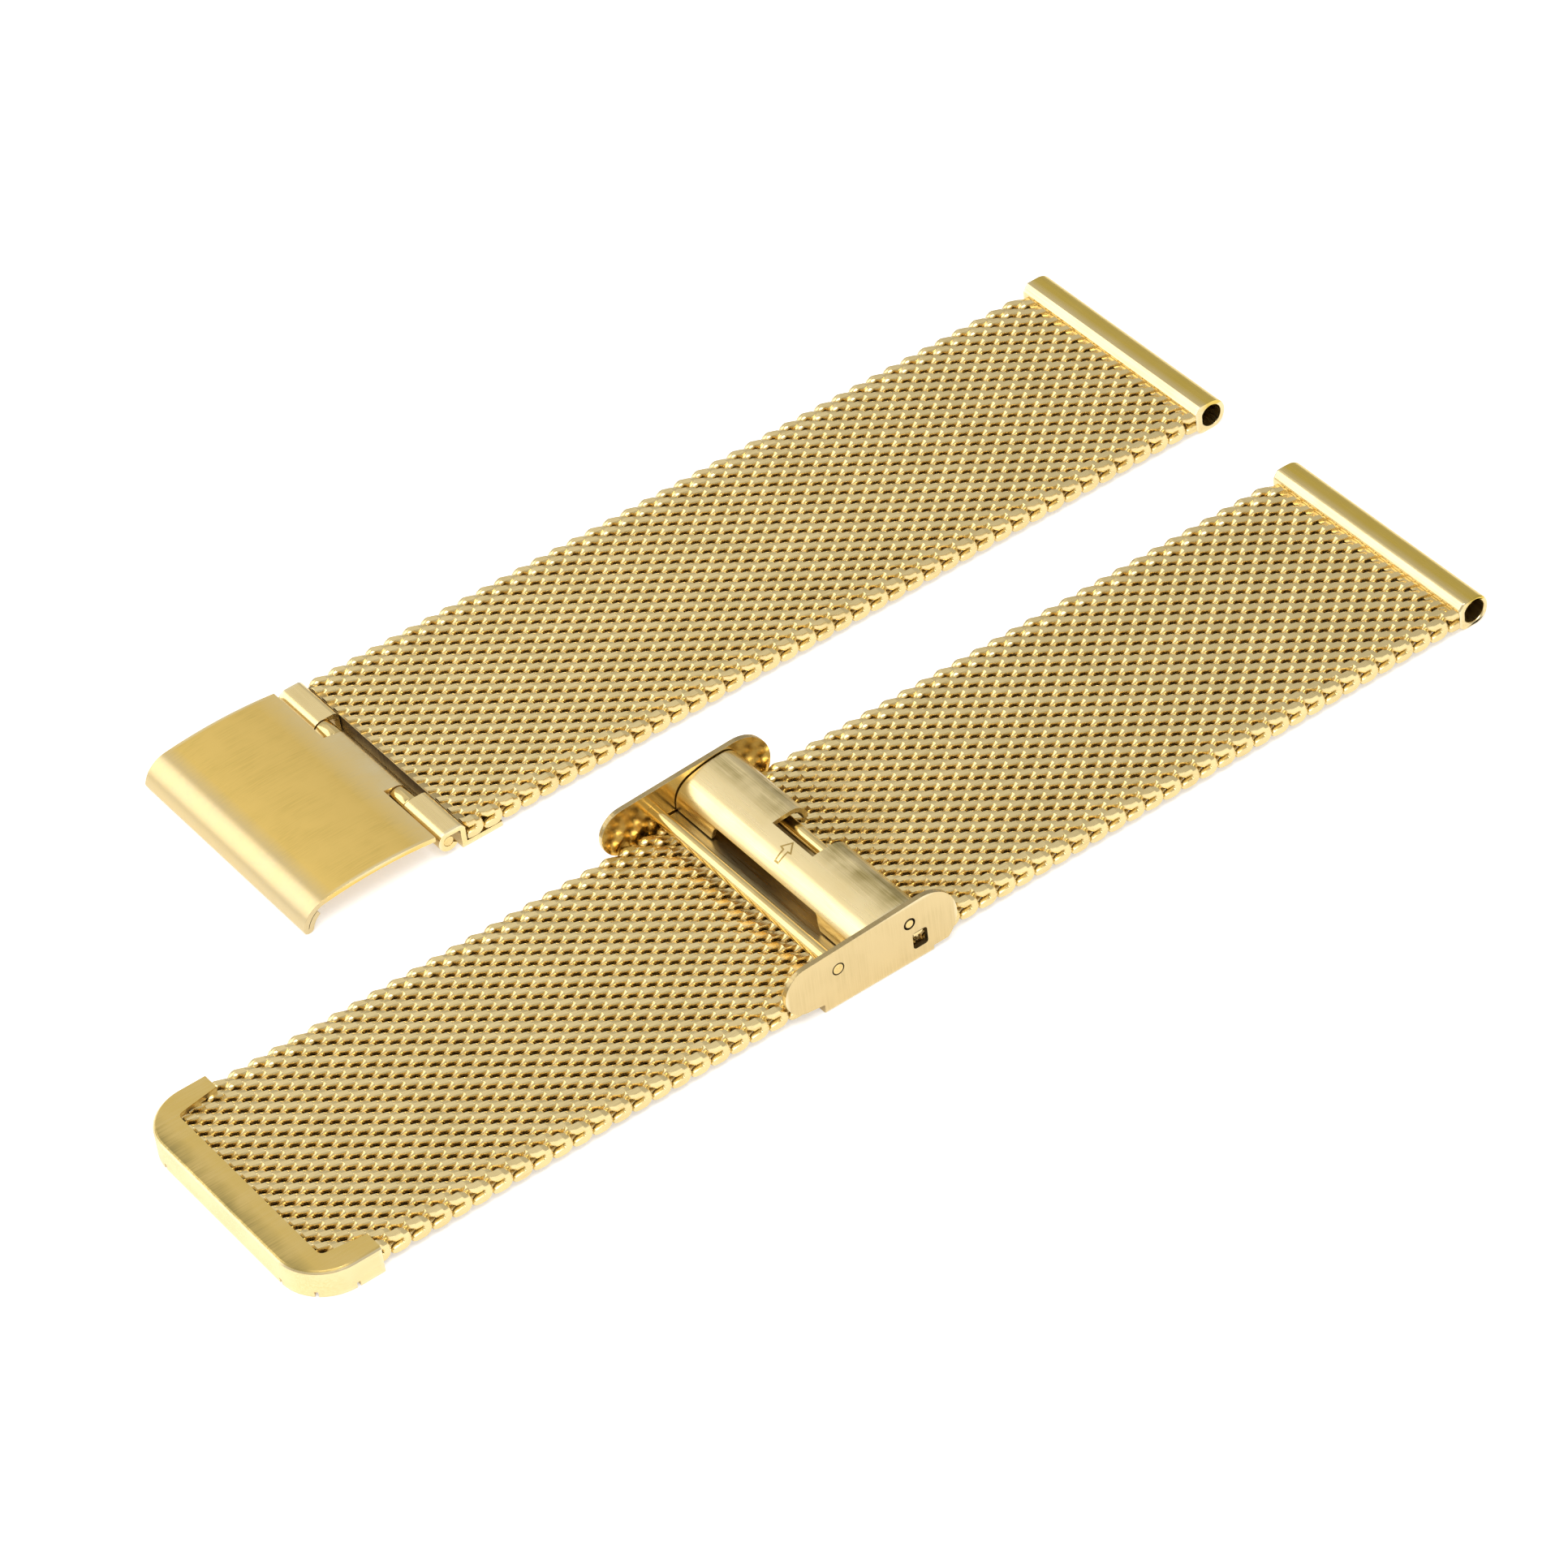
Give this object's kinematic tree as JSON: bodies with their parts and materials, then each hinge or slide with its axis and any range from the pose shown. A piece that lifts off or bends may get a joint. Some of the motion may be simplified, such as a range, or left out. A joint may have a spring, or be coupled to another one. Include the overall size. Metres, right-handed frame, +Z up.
{
  "type": "milanese mesh watch band",
  "caption": "Two-part woven wire mesh watch band with lug tubes, fold-over clasp cover with hook, sliding lockable catch and capped tail.",
  "frame": {"origin": "on the table, midway between the ends and the outer edges of the two straps laid side by side", "axes": "+X along the straps towards the lug tubes, +Y across them towards the short strap, +Z up, out of the straps' outer faces"},
  "size_m": [0.0984, 0.0496, 0.0051],
  "materials": {
    "mesh_gold": "gold-plated steel wire, outer side ground flat and satin",
    "satin_gold": "gold-plated steel sheet, satin brushed",
    "polished_gold": "gold-plated steel, polished"
  },
  "bodies": {
    "clasp_end": {"mesh_a_1": "mesh_gold", "clasp_connector": "satin_gold", "hinge_pin": "polished_gold"},
    "link_a_2": {"mesh_a_2": "mesh_gold"},
    "link_a_3": {"mesh_a_3": "mesh_gold"},
    "link_a_4": {"mesh_a_4": "mesh_gold"},
    "link_a_5": {"mesh_a_5": "mesh_gold"},
    "link_a_6": {"mesh_a_6": "mesh_gold"},
    "link_a_7": {"mesh_a_7": "mesh_gold"},
    "link_a_8": {"mesh_a_8": "mesh_gold"},
    "lug_end_a": {"mesh_a_9": "mesh_gold", "lug_tube_a": "satin_gold"},
    "cover": {"cover_plate": "satin_gold"},
    "hook": {"hook_plate": "polished_gold"},
    "clasp_link_b": {"mesh_b_6": "mesh_gold"},
    "link_b_5": {"mesh_b_5": "mesh_gold"},
    "link_b_4": {"mesh_b_4": "mesh_gold"},
    "link_b_3": {"mesh_b_3": "mesh_gold"},
    "link_b_2": {"mesh_b_2": "mesh_gold"},
    "tail_end": {"mesh_b_1": "mesh_gold", "tail_cap": "satin_gold"},
    "link_b_7": {"mesh_b_7": "mesh_gold"},
    "link_b_8": {"mesh_b_8": "mesh_gold"},
    "link_b_9": {"mesh_b_9": "mesh_gold"},
    "link_b_10": {"mesh_b_10": "mesh_gold"},
    "link_b_11": {"mesh_b_11": "mesh_gold"},
    "lug_end_b": {"mesh_b_12": "mesh_gold", "lug_tube_b": "satin_gold"},
    "slider": {"slider_housing": "satin_gold", "cross_bar": "polished_gold", "flap_pin": "polished_gold"},
    "clamp": {"clamp_plate": "polished_gold"},
    "flap": {"locking_flap": "satin_gold"}
  },
  "joints": [
    {"name": "flex_a_1", "type": "hinge", "parent": "clasp_end", "child": "link_a_2", "pos_m": [-0.00988, 0.0148, 0.00115], "axis": [0, 1, 0], "range_deg": [-12, 20]},
    {"name": "flex_a_2", "type": "hinge", "parent": "link_a_2", "child": "link_a_3", "pos_m": [-0.00282, 0.0148, 0.00115], "axis": [0, 1, 0], "range_deg": [-12, 20]},
    {"name": "flex_a_3", "type": "hinge", "parent": "link_a_3", "child": "link_a_4", "pos_m": [0.00425, 0.0148, 0.00115], "axis": [0, 1, 0], "range_deg": [-12, 20]},
    {"name": "flex_a_4", "type": "hinge", "parent": "link_a_4", "child": "link_a_5", "pos_m": [0.01131, 0.0148, 0.00115], "axis": [0, 1, 0], "range_deg": [-12, 20]},
    {"name": "flex_a_5", "type": "hinge", "parent": "link_a_5", "child": "link_a_6", "pos_m": [0.01838, 0.0148, 0.00115], "axis": [0, 1, 0], "range_deg": [-12, 20]},
    {"name": "flex_a_6", "type": "hinge", "parent": "link_a_6", "child": "link_a_7", "pos_m": [0.02544, 0.0148, 0.00115], "axis": [0, 1, 0], "range_deg": [-12, 20]},
    {"name": "flex_a_7", "type": "hinge", "parent": "link_a_7", "child": "link_a_8", "pos_m": [0.03251, 0.0148, 0.00115], "axis": [0, 1, 0], "range_deg": [-12, 20]},
    {"name": "flex_a_8", "type": "hinge", "parent": "link_a_8", "child": "lug_end_a", "pos_m": [0.03957, 0.0148, 0.00115], "axis": [0, 1, 0], "range_deg": [-12, 20]},
    {"name": "cover_hinge", "type": "hinge", "parent": "clasp_end", "child": "cover", "pos_m": [-0.01845, 0.0148, 0.00125], "axis": [0, 1, 0], "range_deg": [-20, 95]},
    {"name": "hook_hinge", "type": "hinge", "parent": "cover", "child": "hook", "pos_m": [-0.01845, 0.0148, 0.00125], "axis": [0, 1, 0], "range_deg": [-60, 0]},
    {"name": "band_b_lift", "type": "slide", "parent": "clasp_end", "child": "clasp_link_b", "axis": [0, 0, 1], "range_m": [0, 0.05]},
    {"name": "flex_tail_1", "type": "hinge", "parent": "clasp_link_b", "child": "link_b_5", "pos_m": [-0.01192, -0.01425, 0.00115], "axis": [0, -1, 0], "range_deg": [0, 20]},
    {"name": "flex_tail_2", "type": "hinge", "parent": "link_b_5", "child": "link_b_4", "pos_m": [-0.01899, -0.01425, 0.00115], "axis": [0, -1, 0], "range_deg": [0, 20]},
    {"name": "flex_tail_3", "type": "hinge", "parent": "link_b_4", "child": "link_b_3", "pos_m": [-0.02605, -0.01425, 0.00115], "axis": [0, -1, 0], "range_deg": [0, 20]},
    {"name": "flex_tail_4", "type": "hinge", "parent": "link_b_3", "child": "link_b_2", "pos_m": [-0.03312, -0.01425, 0.00115], "axis": [0, -1, 0], "range_deg": [0, 20]},
    {"name": "flex_tail_5", "type": "hinge", "parent": "link_b_2", "child": "tail_end", "pos_m": [-0.04018, -0.01425, 0.00115], "axis": [0, -1, 0], "range_deg": [0, 20]},
    {"name": "flex_lug_1", "type": "hinge", "parent": "clasp_link_b", "child": "link_b_7", "pos_m": [0.00378, -0.01425, 0.00115], "axis": [0, -1, 0], "range_deg": [-20, 0]},
    {"name": "flex_lug_2", "type": "hinge", "parent": "link_b_7", "child": "link_b_8", "pos_m": [0.01084, -0.01425, 0.00115], "axis": [0, -1, 0], "range_deg": [-20, 0]},
    {"name": "flex_lug_3", "type": "hinge", "parent": "link_b_8", "child": "link_b_9", "pos_m": [0.01791, -0.01425, 0.00115], "axis": [0, -1, 0], "range_deg": [-20, 0]},
    {"name": "flex_lug_4", "type": "hinge", "parent": "link_b_9", "child": "link_b_10", "pos_m": [0.02497, -0.01425, 0.00115], "axis": [0, -1, 0], "range_deg": [-20, 0]},
    {"name": "flex_lug_5", "type": "hinge", "parent": "link_b_10", "child": "link_b_11", "pos_m": [0.03204, -0.01425, 0.00115], "axis": [0, -1, 0], "range_deg": [-20, 0]},
    {"name": "flex_lug_6", "type": "hinge", "parent": "link_b_11", "child": "lug_end_b", "pos_m": [0.0391, -0.01425, 0.00115], "axis": [0, -1, 0], "range_deg": [-20, 0]},
    {"name": "slider_slide", "type": "slide", "parent": "clasp_link_b", "child": "slider", "axis": [1, 0, 0], "range_m": [-0.03175, 0.04385]},
    {"name": "flap_hinge", "type": "hinge", "parent": "slider", "child": "flap", "pos_m": [-0.00161, -0.01425, 0.00346], "axis": [0, 1, 0], "range_deg": [0, 70]},
    {"name": "clamp_lift", "type": "slide", "parent": "slider", "child": "clamp", "axis": [0, 0, 1], "range_m": [0, 0.0001]}
  ],
  "couplings": [
    {"joint": "flex_a_2", "follows": "flex_a_1", "ratio": 1},
    {"joint": "flex_a_3", "follows": "flex_a_1", "ratio": 1},
    {"joint": "flex_a_4", "follows": "flex_a_1", "ratio": 1},
    {"joint": "flex_a_5", "follows": "flex_a_1", "ratio": 1},
    {"joint": "flex_a_6", "follows": "flex_a_1", "ratio": 1},
    {"joint": "flex_a_7", "follows": "flex_a_1", "ratio": 1},
    {"joint": "flex_a_8", "follows": "flex_a_1", "ratio": 1},
    {"joint": "flex_tail_2", "follows": "flex_tail_1", "ratio": 1},
    {"joint": "flex_tail_3", "follows": "flex_tail_1", "ratio": 1},
    {"joint": "flex_tail_4", "follows": "flex_tail_1", "ratio": 1},
    {"joint": "flex_tail_5", "follows": "flex_tail_1", "ratio": 1},
    {"joint": "flex_lug_2", "follows": "flex_lug_1", "ratio": 1},
    {"joint": "flex_lug_3", "follows": "flex_lug_1", "ratio": 1},
    {"joint": "flex_lug_4", "follows": "flex_lug_1", "ratio": 1},
    {"joint": "flex_lug_5", "follows": "flex_lug_1", "ratio": 1},
    {"joint": "flex_lug_6", "follows": "flex_lug_1", "ratio": 1},
    {"joint": "clamp_lift", "follows": "flap_hinge", "m_per_rad": 0.00004093}
  ]
}
